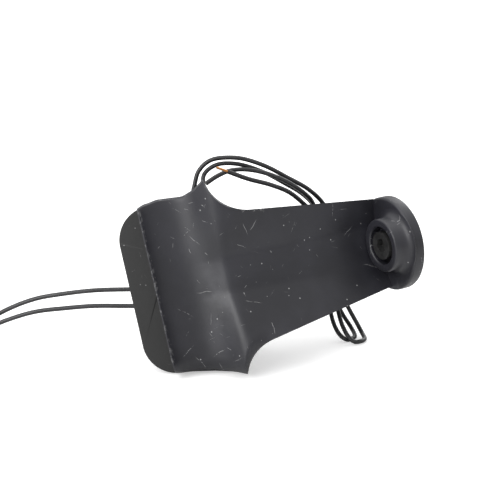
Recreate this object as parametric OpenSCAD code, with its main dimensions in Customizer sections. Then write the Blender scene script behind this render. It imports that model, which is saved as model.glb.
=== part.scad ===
// Wired thumb shifter for a round handlebar, lying on its lower edge as on a bench.
// Millimetres. X runs along the long side, Z up, and the bench is the plane Z = 0.

/* [Pose on the bench] */
// Lean of the part away from the front
lean = 15; // [10:0.5:20]
// Turn of the handlebar axis from upright
bar_turn = 13; // [11:0.5:15]

/* [Handlebar saddle] */
// Radius of the groove for the handlebar
groove_r = 11.15; // [10.9:0.05:11.4]
// Distance from the ear line to the groove axis
groove_offset = 10.2; // [9.8:0.1:10.6]
// Distance from the ear line to the left side of the body
body_left = 20.3; // [20:0.1:21]
// Height of the groove lips above the bottom of the groove
lip_h = 5.6; // [5.2:0.1:6]
// Depth of the body's rim below the bottom of the groove
rim_depth = 3; // [2.6:0.1:3.6]
// Reach of the upper ear
ear_up = 28.6; // [27.5:0.1:29.5]
// Reach of the lower ear
ear_down = 29.3; // [28.5:0.1:29.5]
// Round between the upper ear and the stalk
fillet_up = 13; // [12:0.5:14]
// Round between the lower ear and the stalk
fillet_down = 12; // [11:0.5:13]
// Wall of the moulded shells
wall = 2; // [1.6:0.1:2.4]

/* [Stalk] */
// Angle at which the stalk falls away from the handlebar
stalk_fall = 25; // [23:0.5:27]
// Height of the channel floor at the ear line
floor_at_bar = 2.5; // [2:0.1:3]
// Rise of the strips beside the channel floor, as a slope
strip_rise = 0.32; // [0.2:0.02:0.4]
// Upper edge of the stalk at the ear line
edge_up = 18.4; // [17.5:0.1:19]
// Lower edge of the stalk at the ear line
edge_down = 22.3; // [21.5:0.1:23]
// Depth of the stalk's back at the ear line
stalk_depth = 20; // [18:0.5:22]

/* [Head] */
// Length of the channel floor, from the ear line to the head
stalk_len = 48; // [44:0.5:52]
// Radius of the head
head_r = 14.5; // [14:0.1:15]
// Thickness of the head
head_t = 4; // [3.9:0.1:4.4]
// Floor of the head
head_floor = 0.9; // [0.8:0.1:1]
// Radius of the boss on the head
boss_r = 8.1; // [7.5:0.1:8.5]
// Height of the boss
boss_h = 5.2; // [4.6:0.1:6]
// Distance of the boss from the middle of the head
boss_shift = 4.8; // [4.4:0.1:5.2]
// Radius of the recess for the screw head
recess_r = 5.7; // [5.2:0.1:6]
// Travel of a thumb button
travel = 0.4; // [0.3:0.05:0.45]

/* [Plate and housing] */
// Left side of the mounting plate, from the ear line
plate_left = 28.4; // [27.5:0.1:29.5]
// Half height of the mounting plate
plate_half = 24.9; // [24.5:0.1:25.5]
// Corner radius of the mounting plate
plate_corner = 10; // [8:0.5:12]
// Thickness of the mounting plate
plate_t = 1.6; // [1.2:0.1:2]
// Left side of the housing, from the middle
house_left = 24; // [22:0.5:26]
// Right side of the housing, from the middle
house_right = 8; // [7:0.5:9]
// Top of the housing, from the middle
house_top = 17; // [15:0.5:18]
// Bottom of the housing, from the middle
house_bottom = 23; // [22.5:0.1:23.5]
// Thickness of the back cover
cover_t = 1.8; // [1.4:0.1:2.2]
// Thickness of the gasket
gasket_t = 0.5; // [0.4:0.1:0.8]

/* [Screws and leads] */
// Radius of the small screws' shanks
screw_r = 1.2; // [1:0.05:1.3]
// Clearance round a screw shank
screw_gap = 0.05; // [0.03:0.01:0.08]
// Diameter of a lead
lead_d = 1.4; // [1.3:0.1:1.6]

/* [Hidden] */

$fn = 48;
eps = 0.02;
slope = tan(stalk_fall);
plate_back = rim_depth + plate_t;
// Height of the handlebar's middle over the bench: the plate's lower corner stands on it
plate_low = (plate_left - plate_corner) * sin(bar_turn) + (plate_half - plate_corner) * cos(bar_turn)
    + plate_corner;
stand = plate_low * cos(lean) + plate_back * sin(lean);
// The housing is as deep as it must be for its lower back edge to stand on the bench too
house_back = (stand - house_bottom * cos(lean)) / sin(lean);
// Shift that brings the middle of the part's box over the origin
shift_x = -13.78;
shift_y = -9.95;

// Edges of the stalk and its channel, as lines [height at the ear line, slope]
up_line = [edge_up, -0.122];
down_line = [-edge_down, 0.147];
crease_up = [4.9, -0.01];
crease_down = [-4.9, -0.075];
// Upper and lower edges of the body, left of the ears
top_edge = [[-body_left, 24.3], [-18.7, 25.2], [-14.5, 26], [-11, 25.7], [-7.3, 25.3],
    [-3.7, 26.3], [-1.2, 27.7], [0, ear_up]];
low_edge = [[-body_left, -24.2], [-18.7, -24.7], [-9.2, -26.6], [-3, -28.3], [0, -ear_down]];

function at(line, u) = line[0] + line[1] * u;
// Middle of the round that touches a line and passes through the ear's tip
function round_u(line, tip, r) =
    let (m = line[1], c = tip - line[0] - sign(tip) * abs(r) * sqrt(1 + m * m))
    (m * c + sqrt(m * m * c * c - (1 + m * m) * (c * c - r * r))) / (1 + m * m);
function round_v(line, tip, r) =
    at(line, round_u(line, tip, r)) + sign(tip) * r * sqrt(1 + line[1] * line[1]);
function touch_u(line, tip, r) =
    round_u(line, tip, r) + sign(tip) * r * line[1] / sqrt(1 + line[1] * line[1]);
function edge(u, line, tip, r, table) =
    u <= 0 ? lookup(u, table)
    : u >= touch_u(line, tip, r) ? at(line, u)
    : round_v(line, tip, r) - sign(tip) * sqrt(r * r - pow(u - round_u(line, tip, r), 2));
function top_v(u) = edge(u, up_line, ear_up, fillet_up, top_edge);
function low_v(u) = edge(u, down_line, -ear_down, fillet_down, low_edge);
// Front of the body: a channel with rising strips, capped at the groove's lips
function front_w(u, v) = min(lip_h, floor_at_bar - slope * u
    + strip_rise * max(0, v - at(crease_up, u), at(crease_down, u) - v));
// Back of the stalk, which runs from the housing down to the edge of the head
// The channel floor meets the head this far from the head's middle
floor_drop = 3.8;
head_u = stalk_len + floor_drop * sin(stalk_fall);
head_w = floor_at_bar - slope * stalk_len + floor_drop * cos(stalk_fall);
head_v = -2;
back_end = [head_u - (head_r - 0.6) * sin(stalk_fall), head_w - (head_r - 0.6) * cos(stalk_fall)];
function back_w(u) = -stalk_depth + (back_end[1] + stalk_depth) * u / back_end[0];

across = 16;
round_steps = 12;
// Outline of the body, drawn in by a wall where it is open to the stalk
function body_outline(inset) = let (start = -body_left + inset, us = concat(
    [for (i = [0:7]) start * (7 - i) / 7], [1, 2, 3, root_u], inset > 0 ? [root_u + 1] : []))
    concat([for (u = us) [u, low_v(u) + inset]],
        [for (i = [len(us) - 1:-1:0]) [us[i], top_v(us[i]) - inset]]);
// One slice of the stalk: its front over a half-round back, drawn in by inset
function stalk_slice(u, inset) = let (a = low_v(u) + inset, b = top_v(u) - inset,
    w_a = front_w(u, low_v(u)) - inset, w_b = front_w(u, top_v(u)) - inset) concat(
    [for (i = [0:across]) let (v = a + (b - a) * i / across) [u, v, front_w(u, v) - inset]],
    [for (i = [1:round_steps - 1]) let (t = 180 * i / round_steps, w_m = w_b + (w_a - w_b) * i
        / round_steps)
        [u, (a + b) / 2 + (b - a) / 2 * cos(t), w_m + (back_w(u) + inset - w_m) * sin(t)]]);
// Skin over slices that all have as many points
module skin(slices) {
    n = len(slices[0]);
    last = len(slices) - 1;
    polyhedron(
        points = [for (s = slices) for (p = s) p],
        faces = concat(
            [[for (j = [0:n - 1]) n - 1 - j]],
            [for (i = [0:last - 1]) for (j = [0:n - 1]) let (k = (j + 1) % n)
                for (f = [[i * n + j, (i + 1) * n + k, (i + 1) * n + j],
                    [i * n + j, i * n + k, (i + 1) * n + k]]) f],
            [[for (j = [0:n - 1]) last * n + j]]),
        convexity = 8);
}
// Wall between two skins of the same slices, open at both ends
module hollow_skin(outer, inner) {
    n = len(outer[0]);
    rows = len(outer);
    in = n * rows;
    end = n * (rows - 1);
    polyhedron(
        points = [for (s = concat(outer, inner)) for (p = s) p],
        faces = concat(
            [for (i = [0:rows - 2]) for (j = [0:n - 1]) let (k = (j + 1) % n, a = i * n, b = a + n)
                for (f = [[a + j, b + k, b + j], [a + j, a + k, b + k],
                    [in + b + j, in + b + k, in + a + j], [in + b + k, in + a + k, in + a + j]]) f],
            [for (j = [0:n - 1]) let (k = (j + 1) % n)
                for (f = [[k, j, in + j, in + k], [end + j, end + k, in + end + k, in + end + j]]) f]),
        convexity = 8);
}

// Frames: the bench pose, the handlebar's frame in it, and the head's frame in that
module on_bench() {
    translate([shift_x, shift_y, stand]) rotate([90 - lean, 0, 0]) children();
}
module on_bar() { on_bench() rotate([0, 0, bar_turn]) children(); }
module on_head() { on_bar() translate([head_u, head_v, head_w]) rotate([0, 90 + stalk_fall, 0]) children(); }

module rounded_plate(x0, x1, y0, y1, left_r, right_r, t) {
    linear_extrude(t) union() {
        for (y = [y0 + left_r, y1 - left_r]) translate([x0 + left_r, y]) circle(left_r);
        for (y = [y0 + right_r, y1 - right_r]) translate([x1 - right_r, y]) circle(right_r);
        translate([x0 + left_r, y0]) square([x1 - right_r - x0 - left_r, y1 - y0]);
        translate([x0, y0 + left_r]) square([left_r + eps, y1 - y0 - 2 * left_r]);
        translate([x1 - right_r - eps, y0 + right_r]) square([right_r + eps, y1 - y0 - 2 * right_r]);
    }
}

// Where the body ends and the stalk begins
root_u = 4;
stalk_us = concat([for (i = [0:6]) root_u + 8 * i / 6], [for (i = [1:5]) 12 + 46 * i / 5]);
shell_screw_at = [[-15, 9], [-15, -12], [-3, 12], [-3, -12]];
shell_boss_r = 2.8;
shell_screw_in = 2.4;

// The space in front of the channel, sunk by a wall for the inside
module channel_space(sink) {
    skin([for (u = [-15, root_u + 3]) let (w = floor_at_bar - slope * u - sink, a = at(crease_down, u),
        b = at(crease_up, u), far = 40)
        [[u, -far, w + strip_rise * (far + a)], [u, -far, 60], [u, far, 60],
            [u, far, w + strip_rise * (far - b)], [u, b, w], [u, a, w]]]);
}
module groove(r) {
    translate([-groove_offset, 0, groove_r]) rotate([90, 0, 0])
        cylinder(r = r, h = 80, center = true, $fn = 96);
}
module saddle_shell() {
    color([0.13, 0.13, 0.15]) on_bar() difference() {
        union() {
            difference() {
                translate([0, 0, -rim_depth]) linear_extrude(rim_depth + lip_h)
                    polygon(body_outline(0));
                difference() {
                    translate([0, 0, -rim_depth - 1]) linear_extrude(rim_depth + 1 + lip_h - wall)
                        polygon(body_outline(wall));
                    groove(groove_r + wall);
                    channel_space(wall);
                }
            }
            for (p = shell_screw_at) translate([p[0], p[1], -rim_depth])
                cylinder(r = shell_boss_r, h = rim_depth + 1);
        }
        groove(groove_r);
        channel_space(0);
        for (p = shell_screw_at) translate([p[0], p[1], -rim_depth - 1])
            cylinder(r = screw_r + screw_gap, h = shell_screw_in + 1 + 0.3);
    }
}
module stalk_shell() {
    color([0.13, 0.13, 0.15]) on_bar() difference() {
        hollow_skin([for (u = stalk_us) stalk_slice(u, 0)], [for (u = stalk_us) stalk_slice(u, wall)]);
        stalk_root_cut();
        head_side_cut();
    }
}
// Room for the plate and the housing at the stalk's root
module stalk_root_cut() {
    translate([-40, -50, -60]) cube([40 + plate_right + 0.2, 100, 60 - rim_depth]);
    rotate([0, 0, -bar_turn]) translate([-60, -60, -60])
        cube([60 + house_right, 120, 60 - plate_back]);
}
plate_right = 3.6;
// Everything past the front of the head
module head_side_cut() {
    translate([head_u, head_v, head_w]) rotate([0, 90 + stalk_fall, 0])
        translate([-60, -60, 0]) cube([120, 120, 60]);
}

module mounting_plate() {
    color([0.16, 0.16, 0.16]) on_bar() translate([0, 0, -plate_back]) difference() {
        rounded_plate(-plate_left, plate_right, -plate_half, plate_half, plate_corner, plate_corner, plate_t);
        for (p = shell_screw_at) translate([p[0], p[1], -1]) cylinder(r = screw_r + 0.2, h = plate_t + 2);
    }
}

house_walls_to = house_back - cover_t - gasket_t;
house_floor = 1.6;
house_corner = 5;
cover_screw_at = [for (x = [-house_left + 4.5, house_right - 4.5],
    y = [-house_bottom + 4.5, house_top - 4.5]) [x, y]];
cover_boss_r = 3;
cover_screw_in = 6;
left_lead_q = [-4.5, -9.5];
lead_depth = 12;
loop_lead_p = [-11, -6];
board_back = 10.6;
board_t = 1.6;
board_screw_at = [[-18.5, -10], [2.5, 3]];
stalk_hole = [0, -15];
grommet_r = 1.9;

module housing_outline(t, inset) {
    rounded_plate(-house_left + inset, house_right - inset, -house_bottom + inset,
        house_top - inset, house_corner - inset, house_corner - inset, t);
}
module back_housing() {
    color([0.1, 0.1, 0.11]) on_bench() difference() {
        union() {
            difference() {
                translate([0, 0, -house_walls_to])
                    housing_outline(house_walls_to - plate_back, 0);
                translate([0, 0, -house_walls_to - 1])
                    housing_outline(house_walls_to - plate_back - house_floor + 1, wall);
            }
            for (p = cover_screw_at) translate([p[0], p[1], -house_walls_to])
                cylinder(r = cover_boss_r, h = house_walls_to - plate_back - 0.5);
            for (p = board_screw_at) translate([p[0], p[1], -board_back + board_t])
                cylinder(r = 2.2, h = board_back - board_t - plate_back - 0.5);
        }
        for (p = cover_screw_at) translate([p[0], p[1], -house_walls_to - 1])
            cylinder(r = screw_r + screw_gap, h = cover_screw_in + 1.3);
        for (p = board_screw_at) translate([p[0], p[1], -board_back - 1])
            cylinder(r = screw_r + screw_gap, h = 4.8);
        for (p = shell_screw_at) rotate([0, 0, bar_turn]) translate([p[0], p[1], -plate_back - 3])
            cylinder(r = screw_r + 0.2, h = 4);
        for (q = left_lead_q) translate([-house_left - 1, q, -lead_depth]) rotate([0, 90, 0])
            cylinder(r = grommet_r, h = wall + 2);
        for (p = loop_lead_p) translate([p, house_top - wall - 1, -lead_depth - 4]) rotate([-90, 0, 0])
            cylinder(r = grommet_r, h = wall + 2);
        translate([house_right - wall - 1, stalk_hole[0], stalk_hole[1]]) rotate([0, 90, 0])
            cylinder(r = 3, h = wall + 2);
    }
}
module back_cover() {
    color([0.1, 0.1, 0.11]) on_bench() translate([0, 0, -house_back]) difference() {
        housing_outline(cover_t, 0);
        for (p = cover_screw_at) translate([p[0], p[1], -1]) cylinder(r = screw_r + 0.2, h = cover_t + 2);
    }
}
module cover_gasket() {
    color([0.25, 0.25, 0.26]) on_bench() translate([0, 0, -house_back + cover_t]) difference() {
        housing_outline(gasket_t, 0);
        translate([0, 0, -1]) difference() {
            housing_outline(gasket_t + 2, wall);
            for (p = cover_screw_at) translate([p[0], p[1], 0]) cylinder(r = cover_boss_r, h = gasket_t + 2);
        }
        for (p = cover_screw_at) translate([p[0], p[1], -1]) cylinder(r = screw_r + 0.2, h = gasket_t + 2);
    }
}
// A small pan-head screw with a hexagon socket, head below, shank up
module small_screw(shank, head_r, head_h) {
    difference() {
        union() {
            translate([0, 0, -eps]) cylinder(r = screw_r, h = shank + eps);
            translate([0, 0, -head_h]) cylinder(r = head_r, h = head_h);
        }
        translate([0, 0, -head_h - 1]) cylinder(r = head_r * 0.45, h = head_h * 0.6 + 1, $fn = 6);
    }
}
small_head_r = 2.2;
small_head_h = 1.2;
module cover_screws() {
    color([0.5, 0.5, 0.52]) on_bench() for (p = cover_screw_at)
        translate([p[0], p[1], -house_back]) small_screw(cover_t + gasket_t + cover_screw_in, small_head_r, small_head_h);
}
module shell_screws() {
    color([0.5, 0.5, 0.52]) on_bar() for (p = shell_screw_at)
        translate([p[0], p[1], -plate_back - house_floor])
            small_screw(house_floor + plate_t + shell_screw_in, small_head_r, small_head_h);
}

board_margin = 0.6;
module control_board() {
    color([0.05, 0.3, 0.15]) on_bench() translate([0, 0, -board_back]) difference() {
        translate([-house_left + wall + board_margin, -house_bottom + wall + board_margin, 0])
            cube([house_left + house_right - 2 * (wall + board_margin),
                house_top + house_bottom - 2 * (wall + board_margin), board_t]);
        for (p = cover_screw_at) translate([p[0], p[1], -1]) cylinder(r = cover_boss_r + 0.5, h = board_t + 2);
        for (p = board_screw_at) translate([p[0], p[1], -1]) cylinder(r = screw_r + 0.2, h = board_t + 2);
    }
}
module board_screws() {
    color([0.7, 0.7, 0.7]) on_bench() for (p = board_screw_at)
        translate([p[0], p[1], -board_back]) small_screw(board_t + 2, small_head_r, small_head_h);
}
block_at = [-14, -8];
block_size = [8, 12, 5];
module terminal_block() {
    color([0.1, 0.35, 0.2]) on_bench()
        translate([block_at[0], block_at[1], -board_back - block_size[2]]) cube(block_size);
}

// A rubber grommet: a flange outside the wall and a neck through it, bored for the lead
module grommet(through) {
    difference() {
        union() {
            cylinder(r = grommet_r - 0.05, h = through + eps);
            translate([0, 0, through]) cylinder(r1 = grommet_r + 0.5, r2 = grommet_r - 0.5, h = 1.5);
        }
        translate([0, 0, -1]) cylinder(r = lead_d / 2 + 0.03, h = through + 4, $fn = 24);
    }
}
module left_grommets() {
    color([0.06, 0.06, 0.06]) on_bench() for (q = left_lead_q)
        translate([-house_left + wall, q, -lead_depth]) rotate([0, -90, 0]) grommet(wall);
}
module loop_grommets() {
    color([0.06, 0.06, 0.06]) on_bench() for (p = loop_lead_p)
        translate([p, house_top - wall, -lead_depth - 4]) rotate([-90, 0, 0]) grommet(wall);
}

screw_head_r = 4.25;
recess_depth = 3.2;
head_screw_r = 2.45;
bezel_t = 0.4;
pocket_r = head_r - 1.8;
module head_disc() {
    color([0.13, 0.13, 0.15]) on_head() difference() {
        union() {
            rotate_extrude($fn = 96) polygon([[0, 0], [head_r - 0.6, 0], [head_r, 0.6],
                [head_r, head_t - 0.6], [head_r - 0.6, head_t], [0, head_t]]);
            translate([-boss_shift, 0, -boss_h]) cylinder(r = boss_r, h = boss_h + eps, $fn = 64);
        }
        translate([0, 0, head_floor]) cylinder(r = pocket_r, h = head_t, $fn = 96);
        translate([-boss_shift, 0, -boss_h - 1]) cylinder(r = recess_r, h = recess_depth + 1);
        translate([-boss_shift, 0, -boss_h]) cylinder(r = head_screw_r + 0.15, h = boss_h + head_t);
        translate([7.5, 0, -1]) cylinder(r = 2, h = head_floor + 2);
    }
}
module head_screw() {
    color([0.2, 0.2, 0.2]) on_head() translate([-boss_shift, 0, -boss_h + recess_depth]) difference() {
        union() {
            translate([0, 0, -3]) cylinder(r = screw_head_r, h = 3);
            translate([0, 0, -eps]) cylinder(r = head_screw_r, h = boss_h - recess_depth + head_t - 0.4);
        }
        translate([0, 0, -4]) cylinder(r = 2.3, h = 3, $fn = 6);
    }
}
post_r = 4.2;
lip_in = 0.8;
ring_gap = 0.1;
bezel_wall = 1.5;
button_r = pocket_r - ring_gap - bezel_wall;
bar_half = 1.2;
button_bottom = 2.9;
board_top = head_floor + 0.6;
module head_bezel() {
    color([0.1, 0.1, 0.11]) on_head() difference() {
        union() {
            difference() {
                translate([0, 0, head_floor]) cylinder(r = pocket_r - ring_gap, h = head_t + bezel_t - head_floor, $fn = 96);
                translate([0, 0, -1]) cylinder(r = button_r + 0.2, h = button_bottom + 0.8 + 1, $fn = 96);
                cylinder(r = button_r + 0.2 - lip_in, h = 10, $fn = 96);
            }
            translate([-boss_shift, 0, head_floor]) cylinder(r = post_r, h = head_t + bezel_t - head_floor);
            translate([-button_r - 0.6, -bar_half, board_top + 0.3])
                cube([2 * button_r + 1.2, 2 * bar_half, head_t + bezel_t - board_top - 0.3]);
        }
        translate([-boss_shift, 0, 0]) cylinder(r = head_screw_r + screw_gap, h = head_t - 0.1);
    }
}
// Half-moon button; side is 1 for the upper one and -1 for the lower one
module button(side) {
    intersection() {
        difference() {
            union() {
                translate([0, 0, button_bottom]) cylinder(r = button_r, h = 0.7, $fn = 96);
                translate([0, 0, button_bottom]) cylinder(r = button_r - lip_in, h = 1.9, $fn = 96);
                translate([0, 0, button_bottom + 1.9 - eps])
                    cylinder(r1 = button_r - lip_in, r2 = button_r - lip_in - 2, h = 0.8, $fn = 96);
            }
            translate([-boss_shift, 0, 0]) cylinder(r = post_r + 0.25, h = 10);
        }
        translate([-20, side > 0 ? bar_half + 0.25 : -20 - bar_half - 0.25, 0]) cube([40, 20, 10]);
    }
}
module up_button() { color([0.3, 0.3, 0.32]) on_head() button(1); }
module down_button() { color([0.3, 0.3, 0.32]) on_head() button(-1); }
switch_y = 6;
switch_x = 3;
plunger_r = 1;
module switch_body(side) {
    translate([switch_x, side * switch_y, board_top]) difference() {
        translate([-2.5, -2.5, 0]) cube([5, 5, 0.9]);
        translate([0, 0, 0.3]) cylinder(r = plunger_r + 0.05, h = 2);
    }
}
module plunger(side) {
    translate([switch_x, side * switch_y, board_top + 0.3 + travel + 0.1])
        cylinder(r = plunger_r, h = button_bottom - board_top - 0.4 - travel);
}
module up_switch() { color([0.7, 0.7, 0.68]) on_head() switch_body(1); }
module down_switch() { color([0.7, 0.7, 0.68]) on_head() switch_body(-1); }
module up_plunger() { color([0.8, 0.2, 0.1]) on_head() plunger(1); }
module down_plunger() { color([0.8, 0.2, 0.1]) on_head() plunger(-1); }
module switch_board() {
    color([0.05, 0.3, 0.15]) on_head() translate([0, 0, head_floor]) difference() {
        cylinder(r = button_r, h = 0.6);
        translate([-boss_shift, 0, -1]) cylinder(r = post_r + 0.2, h = 3);
    }
}

// A round tube of n sides along a list of points
function unit(v) = v / norm(v);
function along(pts, i) = unit(pts[min(i + 1, len(pts) - 1)] - pts[max(i - 1, 0)]);
function start_side(d) = unit(cross(d, abs(d[2]) < 0.9 ? [0, 0, 1] : [1, 0, 0]));
function carry(s, d) = unit(s - d * (s * d));
function sides(pts, i) = i == 0 ? [start_side(along(pts, 0))]
    : let (before = sides(pts, i - 1)) concat(before, [carry(before[i - 1], along(pts, i))]);
module tube(pts, d, n = 8) {
    side = sides(pts, len(pts) - 1);
    skin([for (i = [0:len(pts) - 1]) let (t = along(pts, i), s = side[i], c = cross(t, s))
        [for (j = [0:n - 1]) pts[i] + (s * cos(-360 * j / n) + c * sin(-360 * j / n)) * d / 2]]);
}
// Routes of the leads in the housing's frame: along, up and towards the front
upper_route = [[-25.5, -4.5, -12], [-31, -4.5, -12], [-40, -4.8, -12], [-49, -5.8, -12.2],
    [-58, -7.4, -12.8], [-67, -10.8, -14.2], [-76, -15.7, -16.2], [-85, -20, -18],
    [-90, -21.4, -18.6], [-95, -21.8, -18.8]];
lower_route = [[-25.5, -9.5, -12], [-31, -9.5, -12], [-40, -9.5, -12], [-49, -10.2, -12],
    [-58, -11.3, -12.2], [-67, -14, -12.8], [-76, -17.8, -14.1], [-85, -21.2, -15.3],
    [-90, -22.3, -15.8], [-95, -22.5, -15.9]];
outer_route = [[-11, 18.5, -16], [-10.8, 22.5, -16], [-9.9, 27, -15.6], [-8.6, 31.4, -15],
    [-5.4, 34.5, -14.6], [-1, 35.5, -14.4], [5, 35.2, -14.6], [12, 33, -15.8],
    [18.5, 29.8, -17.8], [25, 26.4, -20.2], [30, 22, -23.4], [33.4, 15.6, -27.2],
    [35, 8, -30.2], [35.2, 0, -31.6], [34.8, -8, -31.2], [36, -15, -29.4], [38, -19.6, -28],
    [40, -21.6, -27.4], [42.2, -21.6, -27.8], [43.8, -21, -30], [43.4, -19.6, -32.8],
    [41.6, -16, -34.6], [38.4, -10, -35.2], [33.8, 0, -35.4], [30.8, 8, -33],
    [28.4, 14.4, -28.4], [26.4, 18.8, -22], [23.8, 21.4, -17.4], [19, 25, -14.4],
    [13, 27.2, -12], [6.6, 28.7, -9.8], [0.4, 30.8, -7.8]];
inner_route = [[-6, 18.5, -16], [-6.4, 22.5, -16], [-7.2, 27, -16.2], [-7, 30.4, -16.4],
    [-4.6, 32.8, -16.2], [-1, 33.9, -16], [4.6, 33.5, -16.2], [11.4, 31.3, -17.4],
    [17.6, 28.2, -19.6], [23.6, 24.8, -22.2], [28, 20.4, -25.6], [31, 14, -29],
    [32.6, 7, -31.8], [33, 0, -33.2], [32.6, -8, -33], [33.6, -15, -31.4], [35.6, -19.4, -30.2],
    [38, -21.2, -29.4], [40.2, -20.8, -31], [41, -20, -33.6], [39.8, -17.4, -36],
    [36.6, -12, -37.6], [32, -1, -37.8], [29, 7, -35.6], [27, 13.4, -31.4], [27.2, 18.4, -25.4],
    [26.2, 22.6, -19.6], [20.6, 27, -15.6], [13.6, 30.2, -13.6], [7, 31.6, -12],
    [1.6, 31.4, -10.8], [-2.6, 29.6, -9.4], [-6, 27.2, -8]];
tip_from = outer_route[len(outer_route) - 1];
tip_len = 3.6;
tip_to = tip_from + tip_len * unit(tip_from - outer_route[len(outer_route) - 2]);
inside_routes = [for (k = [0, 1]) [[46.4 - 0.35 * k, 7.8 + 1.6 * k, -23.5],
    [43.2 - 0.35 * k, 7.1 + 1.6 * k, -22], [34, 4 + 1.6 * k, -20.5], [22, 1.4 + 1.6 * k, -17],
    [10, -0.8 + 1.6 * k, -15], [-6, -3 + 3 * k, -13.2]]];
inside_d = 1;

module switch_leads() {
    color([0.6, 0.1, 0.1]) on_bench() for (r = inside_routes) tube(r, inside_d);
}
module upper_lead() { color([0.05, 0.05, 0.05]) on_bench() tube(upper_route, lead_d); }
module lower_lead() { color([0.05, 0.05, 0.05]) on_bench() tube(lower_route, lead_d); }
module outer_loop_lead() { color([0.05, 0.05, 0.05]) on_bench() tube(outer_route, lead_d); }
module inner_loop_lead() { color([0.05, 0.05, 0.05]) on_bench() tube(inner_route, lead_d); }
module bare_tip() { color([0.8, 0.45, 0.2]) on_bench() tube([tip_from, tip_to], lead_d * 0.55); }
plug_size = [14, 9, 6];
module lead_plug() {
    color([0.08, 0.08, 0.08]) translate([shift_x - 95 - plug_size[0], shift_y + 11 - plug_size[1] / 2, 0])
        cube(plug_size);
}

saddle_shell();
stalk_shell();
mounting_plate();
back_housing();
back_cover();
cover_gasket();
cover_screws();
shell_screws();
control_board();
board_screws();
terminal_block();
left_grommets();
loop_grommets();
head_disc();
head_screw();
head_bezel();
up_button();
down_button();
up_switch();
down_switch();
up_plunger();
down_plunger();
switch_board();
switch_leads();
upper_lead();
lower_lead();
outer_loop_lead();
inner_loop_lead();
bare_tip();
lead_plug();
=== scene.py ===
"""Wired thumb shifter on a bench: its worn black moulding, leads and finishes, dressed over the CAD frame."""
import math

import bmesh
import bpy
from mathutils import Euler, Matrix, Vector


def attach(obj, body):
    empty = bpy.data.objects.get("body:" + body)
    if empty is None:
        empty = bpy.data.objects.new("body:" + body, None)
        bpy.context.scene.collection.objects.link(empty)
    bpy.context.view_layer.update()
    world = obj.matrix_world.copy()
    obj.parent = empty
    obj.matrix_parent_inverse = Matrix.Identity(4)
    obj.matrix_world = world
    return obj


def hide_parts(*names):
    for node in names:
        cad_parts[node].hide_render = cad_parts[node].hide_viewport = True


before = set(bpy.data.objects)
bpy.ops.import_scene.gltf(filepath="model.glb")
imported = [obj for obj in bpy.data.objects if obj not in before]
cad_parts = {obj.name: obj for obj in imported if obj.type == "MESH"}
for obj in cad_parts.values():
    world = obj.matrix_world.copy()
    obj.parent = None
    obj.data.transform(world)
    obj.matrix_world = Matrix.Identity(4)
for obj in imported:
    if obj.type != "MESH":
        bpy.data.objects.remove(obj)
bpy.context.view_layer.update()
MM = 0.001

# The part's own dimensions, in millimetres and degrees, as the CAD source names them
LEAN, BAR_TURN, STALK_FALL = 15, 13, 25
GROOVE_R, GROOVE_OFFSET, BODY_LEFT, LIP_H, RIM_DEPTH = 11.15, 10.2, 20.3, 5.6, 3
EAR_UP, EAR_DOWN, FILLET_UP, FILLET_DOWN = 28.6, 29.3, 13, 12
FLOOR_AT_BAR, STRIP_RISE, EDGE_UP, EDGE_DOWN, STALK_DEPTH, STALK_LEN = 2.5, 0.32, 18.4, 22.3, 20, 48
HEAD_R, HEAD_T, HEAD_FLOOR, BOSS_R, BOSS_H, BOSS_SHIFT, RECESS_R = 14.5, 4, 0.9, 8.1, 5.2, 4.8, 5.7
SHIFT_X, SHIFT_Y, STAND = -13.78, -9.95, 28.87131
ROOT_U, HEAD_V, FLOOR_DROP, LEAD_D, TIP_LEN = 4, -2, 3.8, 1.4, 3.6
SLOPE = math.tan(math.radians(STALK_FALL))
HEAD_U = STALK_LEN + FLOOR_DROP * math.sin(math.radians(STALK_FALL))
HEAD_W = FLOOR_AT_BAR - SLOPE * STALK_LEN + FLOOR_DROP * math.cos(math.radians(STALK_FALL))
UP_LINE, DOWN_LINE, CREASE_UP, CREASE_DOWN = (EDGE_UP, -0.122), (-EDGE_DOWN, 0.147), (4.9, -0.01), (-4.9, -0.075)
TOP_EDGE = [(-BODY_LEFT, 24.3), (-18.7, 25.2), (-14.5, 26), (-11, 25.7), (-7.3, 25.3), (-3.7, 26.3),
            (-1.2, 27.7), (0, EAR_UP)]
LOW_EDGE = [(-BODY_LEFT, -24.2), (-18.7, -24.7), (-9.2, -26.6), (-3, -28.3), (0, -EAR_DOWN)]

# Frames: the bench pose, the handlebar's frame in it, and the head's frame in that
BENCH = (Matrix.Scale(MM, 4) @ Matrix.Translation((SHIFT_X, SHIFT_Y, STAND))
         @ Matrix.Rotation(math.radians(90 - LEAN), 4, "X"))
BAR = BENCH @ Matrix.Rotation(math.radians(BAR_TURN), 4, "Z")
HEAD = (BAR @ Matrix.Translation((HEAD_U, HEAD_V, HEAD_W))
        @ Matrix.Rotation(math.radians(90 + STALK_FALL), 4, "Y"))


# ---- Camera ----
VIEW_ALONG, VIEW_UP, VIEW_FAR, LENS = 7.1, 7.4, 290, 72


def make_camera():
    data = bpy.data.cameras.new("bench_camera")
    data.lens, data.sensor_width = LENS, 36
    data.clip_start, data.clip_end = 0.01, 20
    camera = bpy.data.objects.new("bench_camera", data)
    bpy.context.scene.collection.objects.link(camera)
    camera.location = BENCH @ Vector((VIEW_ALONG, VIEW_UP, VIEW_FAR))
    camera.rotation_euler = Euler((math.radians(90 - LEAN), 0, 0))
    bpy.context.scene.camera = camera


make_camera()


# ---- Materials ----
def node(tree, kind, **values):
    made = tree.nodes.new(kind)
    for name, value in values.items():
        setattr(made, name, value)
    return made


def feed(tree, source, target):
    tree.links.new(source, target)


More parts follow.
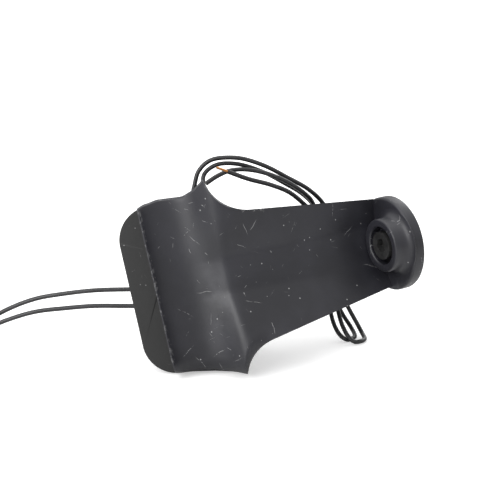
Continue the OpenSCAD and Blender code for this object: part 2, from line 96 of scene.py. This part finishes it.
def group(name, inputs, outputs):
    """An empty node group with float inputs and outputs, and a place input."""
    tree = bpy.data.node_groups.new(name, "ShaderNodeTree")
    tree.interface.new_socket("Place", in_out="INPUT", socket_type="NodeSocketVector")
    for label, default in inputs:
        made = tree.interface.new_socket(label, in_out="INPUT", socket_type="NodeSocketFloat")
        made.default_value = default
    for label in outputs:
        tree.interface.new_socket(label, in_out="OUTPUT", socket_type="NodeSocketFloat")
    return tree, node(tree, "NodeGroupInput"), node(tree, "NodeGroupOutput")


def ramp(tree, source, low, high):
    """A mask that is 0 below low and 1 above high; low above high turns it round."""
    made = node(tree, "ShaderNodeMapRange", interpolation_type="SMOOTHSTEP")
    made.inputs["From Min"].default_value = low
    made.inputs["From Max"].default_value = high
    feed(tree, source, made.inputs["Value"])
    return made.outputs["Result"]


def calc(tree, operation, a, b):
    made = node(tree, "ShaderNodeMath", operation=operation)
    for socket, value in zip(made.inputs, (a, b)):
        if isinstance(value, (int, float)):
            socket.default_value = value
        else:
            feed(tree, value, socket)
    return made.outputs["Value"]


def noise(tree, place, scale, detail=3.0):
    made = node(tree, "ShaderNodeTexNoise")
    made.inputs["Scale"].default_value = scale
    made.inputs["Detail"].default_value = detail
    feed(tree, place, made.inputs["Vector"])
    return made


def cut_marks(tree, place, scale, width, share):
    """Short straight marks, one in some of the cells, each turned its own way."""
    cells = node(tree, "ShaderNodeTexVoronoi", feature="F1")
    feed(tree, place, cells.inputs["Vector"])
    cells.inputs["Scale"].default_value = scale
    chance = node(tree, "ShaderNodeTexWhiteNoise", noise_dimensions="3D")
    feed(tree, cells.outputs["Color"], chance.inputs["Vector"])
    turn = node(tree, "ShaderNodeVectorMath", operation="SUBTRACT")
    feed(tree, chance.outputs["Color"], turn.inputs[0])
    turn.inputs[1].default_value = (0.5, 0.5, 0.5)
    facing = node(tree, "ShaderNodeVectorMath", operation="NORMALIZE")
    feed(tree, turn.outputs["Vector"], facing.inputs[0])
    away = node(tree, "ShaderNodeVectorMath", operation="SUBTRACT")
    feed(tree, place, away.inputs[0])
    feed(tree, cells.outputs["Position"], away.inputs[1])
    side = node(tree, "ShaderNodeVectorMath", operation="DOT_PRODUCT")
    feed(tree, away.outputs["Vector"], side.inputs[0])
    feed(tree, facing.outputs["Vector"], side.inputs[1])
    line = ramp(tree, calc(tree, "ABSOLUTE", side.outputs["Value"], 0.0), width, width * 0.3)
    near = ramp(tree, cells.outputs["Distance"], 0.42, 0.2)
    present = ramp(tree, chance.outputs["Value"], share, share - 0.02)
    return calc(tree, "MULTIPLY", calc(tree, "MULTIPLY", line, near), present)


def scratch_group():
    """Fine scratches in two sizes, gathered in patches, and small bright specks."""
    tree, source, result = group("scratches", [("Speck Scale", 620.0)], ["Scratches", "Specks"])
    place = source.outputs["Place"]
    bend = noise(tree, place, 160.0, 2.0)
    push = node(tree, "ShaderNodeVectorMath", operation="MULTIPLY_ADD")
    feed(tree, bend.outputs["Color"], push.inputs[0])
    push.inputs[1].default_value = (0.0022, 0.0022, 0.0022)
    feed(tree, place, push.inputs[2])
    bent = push.outputs["Vector"]
    patches = ramp(tree, noise(tree, place, 70.0, 2.0).outputs["Fac"], 0.47, 0.58)
    breaks = ramp(tree, noise(tree, place, 1500.0, 2.0).outputs["Fac"], 0.38, 0.52)
    long_marks = cut_marks(tree, bent, 150.0, 0.00006, 0.55)
    short_marks = calc(tree, "MULTIPLY", cut_marks(tree, bent, 420.0, 0.00005, 0.4), patches)
    marks = calc(tree, "MULTIPLY", calc(tree, "MAXIMUM", long_marks, short_marks), breaks)
    feed(tree, marks, result.inputs["Scratches"])
    dots = node(tree, "ShaderNodeTexVoronoi", feature="F1")
    feed(tree, place, dots.inputs["Vector"])
    feed(tree, source.outputs["Speck Scale"], dots.inputs["Scale"])
    dot = ramp(tree, dots.outputs["Distance"], 0.16, 0.08)
    split = node(tree, "ShaderNodeSeparateColor")
    feed(tree, dots.outputs["Color"], split.inputs["Color"])
    feed(tree, calc(tree, "MULTIPLY", dot, ramp(tree, split.outputs["Red"], 0.9, 0.92)), result.inputs["Specks"])
    return tree


def grain_group():
    """Fine grain for the bump and a slow mottle for colour and gloss."""
    tree, source, result = group("grain", [("Grain Scale", 2600.0), ("Mottle Scale", 60.0)], ["Grain", "Mottle"])
    for label, scale in (("Grain", "Grain Scale"), ("Mottle", "Mottle Scale")):
        made = noise(tree, source.outputs["Place"], 1.0, 4.0)
        feed(tree, source.outputs[scale], made.inputs["Scale"])
        feed(tree, made.outputs["Fac"], result.inputs[label])
    return tree


SCRATCHES, GRAIN = scratch_group(), grain_group()


def material(name):
    made = bpy.data.materials.new(name)
    made.use_nodes = True
    tree = made.node_tree
    return made, tree, tree.nodes["Principled BSDF"], node(tree, "ShaderNodeTexCoord").outputs["Object"]


def use(tree, shared, place, **values):
    made = node(tree, "ShaderNodeGroup", node_tree=shared)
    feed(tree, place, made.inputs["Place"])
    for label, value in values.items():
        made.inputs[label.replace("_", " ")].default_value = value
    return made.outputs


def tint(tree, mask, base, other):
    """Colour that goes from base to other with the mask; base may be a socket."""
    made = node(tree, "ShaderNodeMix", data_type="RGBA")
    feed(tree, mask, made.inputs["Factor"])
    if isinstance(base, tuple):
        made.inputs["A"].default_value = (*base, 1)
    else:
        feed(tree, base, made.inputs["A"])
    made.inputs["B"].default_value = (*other, 1)
    return made.outputs["Result"]


def bump(tree, shader, height, strength, distance=0.0001):
    made = node(tree, "ShaderNodeBump")
    made.inputs["Strength"].default_value = strength
    made.inputs["Distance"].default_value = distance
    feed(tree, height, made.inputs["Height"])
    feed(tree, made.outputs["Normal"], shader.inputs["Normal"])


def worn_plastic(name, dark, pale, rough_low, rough_high, wear, grain=0.12):
    """Moulded black plastic or paint, rubbed paler in patches, with scratches and specks, and on the moulding a
    painted highlight: a paler patch where the lamps' broad reflection falls.
    """
    made, tree, shader, place = material(name)
    grit = use(tree, GRAIN, place)
    marks = use(tree, SCRATCHES, place)
    colour = tint(tree, ramp(tree, grit["Mottle"], 0.35, 0.7), dark, pale)
    worn = calc(tree, "MAXIMUM", calc(tree, "MULTIPLY", marks["Scratches"], wear),
                calc(tree, "MULTIPLY", marks["Specks"], wear * 1.2))
    if name == "worn_black":
        rim = node(tree, "ShaderNodeAttribute", attribute_name="rubbed").outputs["Fac"]
        scuffs = ramp(tree, noise(tree, place, 900.0, 3.0).outputs["Fac"], 0.5, 0.68)
        worn = calc(tree, "MAXIMUM", worn, calc(tree, "MULTIPLY", calc(tree, "MULTIPLY", rim, scuffs), 0.35))
        # Painted highlight: a paler, cloud-broken patch on the groove's wall where the lamps' broad reflection
        # falls, put into the base colour.
        painted_highlight = node(tree, "ShaderNodeAttribute", attribute_name="painted_highlight").outputs["Fac"]
        cloud = ramp(tree, noise(tree, place, 130.0, 4.0).outputs["Fac"], 0.3, 0.7)
        colour = tint(tree, calc(tree, "MULTIPLY", painted_highlight, cloud), colour, (0.06, 0.06, 0.068))
    feed(tree, tint(tree, worn, colour, (0.5, 0.5, 0.5)), shader.inputs["Base Color"])
    spread = node(tree, "ShaderNodeMapRange")
    spread.inputs["To Min"].default_value = rough_low
    spread.inputs["To Max"].default_value = rough_high
    feed(tree, grit["Mottle"], spread.inputs["Value"])
    feed(tree, spread.outputs["Result"], shader.inputs["Roughness"])
    height = calc(tree, "SUBTRACT", calc(tree, "MULTIPLY", grit["Grain"], 0.4), calc(tree, "MULTIPLY", worn, 0.6))
    bump(tree, shader, height, grain)
    return made


def plain(name, dark, pale, rough, metal=0.0, grain=0.1, grain_scale=2600.0):
    """Rubber, metal or board with a mottle, a fine grain and a varied gloss."""
    made, tree, shader, place = material(name)
    grit = use(tree, GRAIN, place, Grain_Scale=grain_scale, Mottle_Scale=220.0)
    feed(tree, tint(tree, ramp(tree, grit["Mottle"], 0.3, 0.7), dark, pale), shader.inputs["Base Color"])
    spread = node(tree, "ShaderNodeMapRange")
    spread.inputs["To Min"].default_value = rough * 0.8
    spread.inputs["To Max"].default_value = rough * 1.2
    feed(tree, grit["Mottle"], spread.inputs["Value"])
    feed(tree, spread.outputs["Result"], shader.inputs["Roughness"])
    shader.inputs["Metallic"].default_value = metal
    bump(tree, shader, grit["Grain"], grain)
    return made


FINISHES = {
    "worn_black": worn_plastic("worn_black", (0.01, 0.01, 0.0135), (0.018, 0.018, 0.0235), 0.36, 0.48, 0.45),
    "plate_black": worn_plastic("plate_black", (0.005, 0.005, 0.005), (0.009, 0.009, 0.009), 0.55, 0.68, 0.2),
    "housing_black": worn_plastic("housing_black", (0.014, 0.014, 0.016), (0.022, 0.022, 0.024), 0.45, 0.6, 0.2,
                                  0.3),
    "gasket_rubber": plain("gasket_rubber", (0.03, 0.03, 0.03), (0.045, 0.045, 0.045), 0.75),
    "grommet_rubber": plain("grommet_rubber", (0.012, 0.012, 0.012), (0.02, 0.02, 0.02), 0.6),
    "screw_steel": plain("screw_steel", (0.3, 0.3, 0.31), (0.45, 0.45, 0.46), 0.35, 1.0),
    "screw_black": plain("screw_black", (0.03, 0.03, 0.03), (0.06, 0.06, 0.06), 0.35, 0.6, 0.2),
    "board_green": plain("board_green", (0.01, 0.09, 0.04), (0.015, 0.13, 0.06), 0.4),
    "terminal_green": plain("terminal_green", (0.03, 0.2, 0.07), (0.04, 0.26, 0.1), 0.5),
    "button_grey": plain("button_grey", (0.09, 0.09, 0.1), (0.13, 0.13, 0.14), 0.5, 0.0, 0.3),
    "switch_steel": plain("switch_steel", (0.4, 0.4, 0.38), (0.55, 0.55, 0.52), 0.35, 1.0),
    "plunger_red": plain("plunger_red", (0.4, 0.04, 0.02), (0.55, 0.06, 0.03), 0.45),
    "lead_red": plain("lead_red", (0.3, 0.02, 0.02), (0.4, 0.03, 0.03), 0.4),
    "lead_black": plain("lead_black", (0.008, 0.008, 0.009), (0.018, 0.018, 0.02), 0.36, 0.0, 0.08, 1400.0),
    "copper": plain("copper", (0.5, 0.2, 0.06), (0.75, 0.38, 0.14), 0.3, 1.0),
    "plug_black": plain("plug_black", (0.015, 0.015, 0.015), (0.03, 0.03, 0.03), 0.45, 0.0, 0.3),
}


def dress(piece, slot):
    piece.data.materials.clear()
    piece.data.materials.append(FINISHES[slot])


# ---- Leads: routes along, up and towards the front, in the housing's frame ----
UPPER_ROUTE = [(-25.5, -4.5, -12), (-31, -4.5, -12), (-40, -4.8, -12), (-49, -5.8, -12.2), (-58, -7.4, -12.8),
               (-67, -10.8, -14.2), (-76, -15.7, -16.2), (-85, -20, -18), (-90, -21.4, -18.6), (-95, -21.8, -18.8)]
LOWER_ROUTE = [(-25.5, -9.5, -12), (-31, -9.5, -12), (-40, -9.5, -12), (-49, -10.2, -12), (-58, -11.3, -12.2),
               (-67, -14, -12.8), (-76, -17.8, -14.1), (-85, -21.2, -15.3), (-90, -22.3, -15.8), (-95, -22.5, -15.9)]
OUTER_ROUTE = [(-11, 18.5, -16), (-10.8, 22.5, -16), (-9.9, 27, -15.6), (-8.6, 31.4, -15), (-5.4, 34.5, -14.6),
               (-1, 35.5, -14.4), (5, 35.2, -14.6), (12, 33, -15.8), (18.5, 29.8, -17.8), (25, 26.4, -20.2),
               (30, 22, -23.4), (33.4, 15.6, -27.2), (35, 8, -30.2), (35.2, 0, -31.6), (34.8, -8, -31.2),
               (36, -15, -29.4), (38, -19.6, -28), (40, -21.6, -27.4), (42.2, -21.6, -27.8), (43.8, -21, -30),
               (43.4, -19.6, -32.8), (41.6, -16, -34.6), (38.4, -10, -35.2), (33.8, 0, -35.4), (30.8, 8, -33),
               (28.4, 14.4, -28.4), (26.4, 18.8, -22), (23.8, 21.4, -17.4), (19, 25, -14.4), (13, 27.2, -12),
               (6.6, 28.7, -9.8), (0.4, 30.8, -7.8)]
INNER_ROUTE = [(-6, 18.5, -16), (-6.4, 22.5, -16), (-7.2, 27, -16.2), (-7, 30.4, -16.4), (-4.6, 32.8, -16.2),
               (-1, 33.9, -16), (4.6, 33.5, -16.2), (11.4, 31.3, -17.4), (17.6, 28.2, -19.6), (23.6, 24.8, -22.2),
               (28, 20.4, -25.6), (31, 14, -29), (32.6, 7, -31.8), (33, 0, -33.2), (32.6, -8, -33),
               (33.6, -15, -31.4), (35.6, -19.4, -30.2), (38, -21.2, -29.4), (40.2, -20.8, -31), (41, -20, -33.6),
               (39.8, -17.4, -36), (36.6, -12, -37.6), (32, -1, -37.8), (29, 7, -35.6), (27, 13.4, -31.4),
               (27.2, 18.4, -25.4), (26.2, 22.6, -19.6), (20.6, 27, -15.6), (13.6, 30.2, -13.6), (7, 31.6, -12),
               (1.6, 31.4, -10.8), (-2.6, 29.6, -9.4), (-6, 27.2, -8)]
SMOOTH_STEPS = 5


def lead_line(route):
    """The route's points with a smooth curve through them, in metres."""
    points = [BENCH @ Vector(p) for p in route]
    line = []
    for i in range(len(points) - 1):
        a, b = points[i], points[i + 1]
        before, after = points[max(i - 1, 0)], points[min(i + 2, len(points) - 1)]
        for k in range(SMOOTH_STEPS):
            t = k / SMOOTH_STEPS
            line.append(0.5 * (2 * a + (b - before) * t + (2 * before - 5 * a + 4 * b - after) * t ** 2
                               + (3 * a - before - 3 * b + after) * t ** 3))
    return line + [points[-1]]


def curve_piece(name, line, radius, slot):
    data = bpy.data.curves.new(name, "CURVE")
    data.dimensions = "3D"
    data.bevel_depth, data.bevel_resolution, data.use_fill_caps = radius, 4, True
    spline = data.splines.new("POLY")
    spline.points.add(len(line) - 1)
    for point, place in zip(spline.points, line):
        point.co = (*place, 1)
    spline.use_smooth = True
    piece = bpy.data.objects.new(name, data)
    bpy.context.scene.collection.objects.link(piece)
    dress(piece, slot)
    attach(piece, "base")
    return piece


def make_lead(name, route):
    line = lead_line(route)
    piece = curve_piece(name + "_cord", line, LEAD_D / 2 * MM, "lead_black")
    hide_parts(name)


def make_leads():
    make_lead("upper_lead", UPPER_ROUTE)
    make_lead("lower_lead", LOWER_ROUTE)
    make_lead("outer_loop_lead", OUTER_ROUTE)
    make_lead("inner_loop_lead", INNER_ROUTE)


make_leads()


# ---- The moulding: one skin of body and stalk ----
def lookup(u, table):
    for (a, va), (b, vb) in zip(table, table[1:]):
        if u <= b:
            return va + (vb - va) * (u - a) / (b - a)
    return table[-1][1]


def edge(u, line, tip, radius, table):
    """Height of the outline's upper or lower edge: a table, a round and a line."""
    if u <= 0:
        return lookup(max(u, -BODY_LEFT), table)
    height, m = line
    sign = math.copysign(1, tip)
    lean = math.sqrt(1 + m * m)
    c = tip - height - sign * radius * lean
    middle = (m * c + math.sqrt(m * m * c * c - (1 + m * m) * (c * c - radius * radius))) / (1 + m * m)
    if u >= middle + sign * radius * m / lean:
        return height + m * u
    return height + m * middle + sign * radius * lean - sign * math.sqrt(radius ** 2 - (u - middle) ** 2)


def top_v(u):
    return edge(u, UP_LINE, EAR_UP, FILLET_UP, TOP_EDGE)


def low_v(u):
    return edge(u, DOWN_LINE, -EAR_DOWN, FILLET_DOWN, LOW_EDGE)


def blend_low(a, b, width):
    """The lower of two heights, blended over a width where they are close."""
    close = max(width - abs(a - b), 0) / width
    return min(a, b) - close * close * width / 4


CREST_WIDTH, LIP_WIDTH, CREASE_WIDTH = 8, 3.5, 0.9
LOW_ROUND, TOP_ROUND = 4.5, 1.1
GROOVE_STRAIGHT = 0.88


def rounded_off(distance, radius):
    """Drop of a rounded edge at a distance in from the edge."""
    inside = max(radius - distance, 0)
    return radius - math.sqrt(max(radius * radius - inside * inside, 0))


def front_w(u, v):
    """Height of the moulding's front: the groove, and the channel with rising strips, under the lips."""
    above = v - CREASE_UP[0] - CREASE_UP[1] * u
    below = CREASE_DOWN[0] + CREASE_DOWN[1] * u - v
    rise = -blend_low(-max(above, below), 0, CREASE_WIDTH)
    channel = FLOOR_AT_BAR - SLOPE * u + STRIP_RISE * rise
    across = u + GROOVE_OFFSET
    held = min(abs(across), GROOVE_STRAIGHT * GROOVE_R)
    depth = math.sqrt(GROOVE_R ** 2 - held ** 2)
    groove = GROOVE_R - depth + (abs(across) - held) * held / depth
    if across > 0:
        height = blend_low(groove, channel, CREST_WIDTH)
        height = blend_low(height, LIP_H + 0.5, LIP_WIDTH)
    else:
        height = min(groove, LIP_H)
    fade = min(1, max(0, (9 - u) / 8))
    return height - fade * rounded_off(v - low_v(u), LOW_ROUND) - fade * rounded_off(top_v(u) - v, TOP_ROUND)


BACK_END = (HEAD_U - (HEAD_R - 0.6) * math.sin(math.radians(STALK_FALL)),
            HEAD_W - (HEAD_R - 0.6) * math.cos(math.radians(STALK_FALL)))
FRONT_STEPS, WALL_STEPS, BACK_STEPS = 76, 5, 18


def section(u, stalk):
    """A ring round the moulding: along its front, then back along a flat or a half-round back."""
    a, b = low_v(u), top_v(u)
    ring = [(a + (b - a) * i / FRONT_STEPS) for i in range(FRONT_STEPS + 1)]
    ring = [Vector((u, v, front_w(u, v))) for v in ring]
    count = 2 * WALL_STEPS + BACK_STEPS
    w_a, w_b = ring[0].z, ring[-1].z
    if stalk:
        back = -STALK_DEPTH + (BACK_END[1] + STALK_DEPTH) * u / BACK_END[0]
        for i in range(1, count):
            t = math.pi * i / count
            w = w_b + (w_a - w_b) * i / count
            ring.append(Vector((u, (a + b) / 2 + (b - a) / 2 * math.cos(t), w + (back - w) * math.sin(t))))
        return ring
    for i in range(1, WALL_STEPS + 1):
        ring.append(Vector((u, b, w_b + (-RIM_DEPTH - w_b) * i / WALL_STEPS)))
    for i in range(1, BACK_STEPS):
        ring.append(Vector((u, b + (a - b) * i / BACK_STEPS, -RIM_DEPTH)))
    for i in range(WALL_STEPS):
        ring.append(Vector((u, a, -RIM_DEPTH + (w_a + RIM_DEPTH) * i / WALL_STEPS)))
    return ring


def spaced(start, end, step):
    count = max(1, round((end - start) / step))
    return [start + (end - start) * i / count for i in range(count)]


def make_moulding():
    stations = [(u, False) for u in spaced(-BODY_LEFT, -BODY_LEFT + 1.2, 0.2) + spaced(-BODY_LEFT + 1.2, -5, 0.7)
                + spaced(-5, ROOT_U, 0.4) + [ROOT_U]]
    stations += [(u, True) for u in [ROOT_U + 0.03] + spaced(ROOT_U + 0.4, 14, 0.5) + spaced(14, 58, 1.0) + [58]]
    rings = [section(u, stalk) for u, stalk in stations]
    shape = bmesh.new()
    bmesh.ops.create_grid(shape, x_segments=len(rings) - 1, y_segments=len(rings[0]), size=1)
    shape.verts.ensure_lookup_table()
    columns = len(rings)
    for spot, vert in enumerate(shape.verts):
        vert.co = rings[spot % columns][(spot // columns) % len(rings[0])]
    bmesh.ops.remove_doubles(shape, verts=shape.verts, dist=1e-4)
    head_normal = Vector((math.cos(math.radians(STALK_FALL)), 0, -math.sin(math.radians(STALK_FALL))))
    bmesh.ops.bisect_plane(shape, geom=shape.verts[:] + shape.edges[:] + shape.faces[:], clear_outer=True,
                           plane_co=Vector((HEAD_U, HEAD_V, HEAD_W)) + 0.15 * head_normal, plane_no=head_normal)
    bmesh.ops.holes_fill(shape, edges=[e for e in shape.edges if e.is_boundary], sides=0)
    bmesh.ops.recalc_face_normals(shape, faces=shape.faces)
    rubbed, painted_highlight = (shape.verts.layers.float.new(name) for name in ("rubbed", "painted_highlight"))
    for vert in shape.verts:
        u, v, w = vert.co
        rim = min(abs(v - top_v(u)), abs(v - low_v(u)) + 0.4) < 0.5 and w > front_w(u, v) - 1.2 and u < 16
        left = abs(u + BODY_LEFT) < 0.9 and w > LIP_H - 1.2
        vert[rubbed] = 1.0 if rim and v > 0 else 0.45 if left or rim else 0.0
        # Painted highlight mask: a soft round patch on the groove's right wall, where the broad reflection falls.
        vert[painted_highlight] = 0.8 * math.exp(-((u + 4.2) / 4) ** 2 - ((v + 6) / 11) ** 2)
    shape.transform(BAR)
    return finished("moulding", shape, "worn_black", "base", ["saddle_shell", "stalk_shell"], 0.55)


def finished(name, shape, slot, body, stands_for, edge_round=0.3, angle=32):
    """Puts a bmesh in the scene as a smooth piece with rounded edges and its finish."""
    for face in shape.faces:
        face.smooth = True
    mesh = bpy.data.meshes.new(name)
    shape.to_mesh(mesh)
    shape.free()
    piece = bpy.data.objects.new(name, mesh)
    bpy.context.scene.collection.objects.link(piece)
    round_edges(piece, edge_round, angle)
    dress(piece, slot)
    if stands_for:
        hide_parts(*stands_for)
    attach(piece, body)
    return piece


def round_edges(piece, width, angle=32):
    rounding = piece.modifiers.new("rounding", "BEVEL")
    rounding.width, rounding.segments = width * MM, 3
    rounding.limit_method, rounding.angle_limit = "ANGLE", math.radians(angle)
    rounding.harden_normals = True


make_moulding()


# ---- Turned and flat pieces ----
def turned(profile, steps=72):
    """A closed turned shape from radius and height pairs, as a bmesh about Z."""
    shape = bmesh.new()
    verts = [shape.verts.new((r, 0, z)) for r, z in profile]
    edges = [shape.edges.new(pair) for pair in zip(verts, verts[1:])]
    bmesh.ops.spin(shape, geom=verts + edges, cent=(0, 0, 0), axis=(0, 0, 1), angle=math.tau, steps=steps,
                   use_merge=True, use_duplicate=False)
    bmesh.ops.remove_doubles(shape, verts=shape.verts, dist=1e-4)
    bmesh.ops.recalc_face_normals(shape, faces=shape.faces)
    return shape


def arc(cx, cz, radius, start, end, steps=5):
    return [(cx + radius * math.cos(math.radians(start + (end - start) * i / steps)),
             cz + radius * math.sin(math.radians(start + (end - start) * i / steps))) for i in range(steps + 1)]


def make_head():
    """The head's cup and its boss, with rounded rims."""
    soft, pocket = 0.8, HEAD_R - 1.8
    profile = ([(0, 0)] + arc(HEAD_R - soft, soft, soft, -90, 0) + arc(HEAD_R - soft, HEAD_T - soft, soft, 0, 90)
               + [(pocket, HEAD_T), (pocket, HEAD_FLOOR), (0, HEAD_FLOOR)])
    cup = turned(profile, 96)
    cup.transform(HEAD)
    finished("head_cup", cup, "worn_black", "base", ["head_disc"], 0.15)
    depth, foot, rim = 3.2, 2.4, 0.6
    profile = ([(0, 0.3), (BOSS_R + foot, 0.3)] + [(BOSS_R + foot, 0)]
               + [(BOSS_R + foot - foot * math.sin(math.radians(a)), -foot + foot * math.cos(math.radians(a)))
                  for a in (0, 22, 45, 68, 90)]
               + arc(BOSS_R - rim, -BOSS_H + rim, rim, 0, -90)
               + arc(RECESS_R + rim, -BOSS_H + rim, rim, -90, -180) + [(RECESS_R, -BOSS_H + depth), (0, -BOSS_H + depth)])
    boss = turned(profile, 72)
    boss.transform(HEAD @ Matrix.Translation((-BOSS_SHIFT, 0, 0)))
    finished("head_boss", boss, "worn_black", "base", [], 0.1, 50)


make_head()

ROUNDING = {"mounting_plate": 0.35, "back_housing": 0.4, "back_cover": 0.4, "cover_gasket": 0.1,
            "head_screw": 0.2, "head_bezel": 0.12, "up_button": 0.25, "down_button": 0.25, "lead_plug": 0.4,
            "cover_screws": 0.12, "shell_screws": 0.12, "left_grommets": 0.12, "loop_grommets": 0.12,
            "control_board": 0.1, "terminal_block": 0.2}
SLOT_OF = {"mounting_plate": "plate_black", "back_housing": "housing_black", "back_cover": "housing_black",
           "cover_gasket": "gasket_rubber", "cover_screws": "screw_steel", "shell_screws": "screw_steel",
           "control_board": "board_green", "board_screws": "screw_steel", "terminal_block": "terminal_green",
           "left_grommets": "grommet_rubber", "loop_grommets": "grommet_rubber", "head_screw": "screw_black",
           "head_bezel": "housing_black", "up_button": "button_grey", "down_button": "button_grey",
           "up_switch": "switch_steel", "down_switch": "switch_steel", "up_plunger": "plunger_red",
           "down_plunger": "plunger_red", "switch_board": "board_green", "switch_leads": "lead_red",
           "bare_tip": "copper", "lead_plug": "plug_black"}


def dress_frame():
    for name, slot in SLOT_OF.items():
        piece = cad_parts[name]
        dress(piece, slot)
        if name in ROUNDING:
            piece.modifiers.new("joined", "WELD").merge_threshold = 1e-6
            round_edges(piece, ROUNDING[name])


dress_frame()


# ---- Stage and light ----
def flat_stage(name, size, place, white):
    """A pale floor that shows white to the camera and keeps a soft shadow."""
    shape = bmesh.new()
    bmesh.ops.create_grid(shape, x_segments=1, y_segments=1, size=size)
    mesh = bpy.data.meshes.new(name)
    shape.to_mesh(mesh)
    shape.free()
    floor = bpy.data.objects.new(name, mesh)
    floor.location = place
    bpy.context.scene.collection.objects.link(floor)
    made = bpy.data.materials.new(name)
    made.use_nodes = True
    tree = made.node_tree
    shader = tree.nodes["Principled BSDF"]
    shader.inputs["Base Color"].default_value = (0.8, 0.8, 0.8, 1)
    shader.inputs["Roughness"].default_value = 0.9
    shader.inputs["Emission Color"].default_value = (1, 1, 1, 1)
    seen = node(tree, "ShaderNodeLightPath").outputs["Is Camera Ray"]
    reach = node(tree, "ShaderNodeVectorMath", operation="LENGTH")
    feed(tree, node(tree, "ShaderNodeTexCoord").outputs["Object"], reach.inputs[0])
    glow = calc(tree, "MAXIMUM", ramp(tree, reach.outputs["Value"], 0.12, 0.4), white)
    feed(tree, calc(tree, "MULTIPLY", seen, glow), shader.inputs["Emission Strength"])
    mesh.materials.append(made)


GLOSS_LOW = 0.55


def world_light(low, high):
    """A light tent, paler overhead, that shows white to the camera and in gloss."""
    world = bpy.data.worlds.new("studio")
    bpy.context.scene.world = world
    world.use_nodes = True
    tree = world.node_tree
    rays = node(tree, "ShaderNodeLightPath").outputs
    seen = calc(tree, "MAXIMUM", rays["Is Camera Ray"], rays["Is Transmission Ray"])
    way = node(tree, "ShaderNodeSeparateXYZ")
    feed(tree, node(tree, "ShaderNodeTexCoord").outputs["Generated"], way.inputs["Vector"])
    rise = ramp(tree, way.outputs["Z"], -0.1, 0.7)
    tent = calc(tree, "ADD", calc(tree, "MULTIPLY", rise, high - low), low)
    mirrored = calc(tree, "ADD", calc(tree, "MULTIPLY", rise, 1 - GLOSS_LOW), GLOSS_LOW)
    strength = calc(tree, "MAXIMUM", calc(tree, "MAXIMUM", seen, tent),
                    calc(tree, "MULTIPLY", rays["Is Glossy Ray"], mirrored))
    background = tree.nodes["Background"]
    background.inputs["Color"].default_value = (1, 1, 1, 1)
    feed(tree, strength, background.inputs["Strength"])


def soft_lamp(name, direction, distance, size, power):
    data = bpy.data.lights.new(name, "AREA")
    data.shape, data.size, data.energy = "DISK", size, power
    lamp = bpy.data.objects.new(name, data)
    middle = Vector((0, 0, 0.028))
    lamp.location = middle + Vector(direction).normalized() * distance
    lamp.rotation_euler = (middle - lamp.location).to_track_quat("-Z", "Y").to_euler()
    bpy.context.scene.collection.objects.link(lamp)


def light_scene():
    bpy.context.scene.view_settings.view_transform = "Standard"
    flat_stage("floor", 6, (0, 0, 0), 0.45)
    world_light(0.2, 0.85)
    soft_lamp("key", (-0.62, -0.7, 0.5), 0.9, 0.7, 6)
    soft_lamp("top", (-0.1, 0.05, 1), 0.9, 1.2, 4)
    soft_lamp("back", (0.5, 0.8, 0.6), 0.9, 0.5, 2)


light_scene()
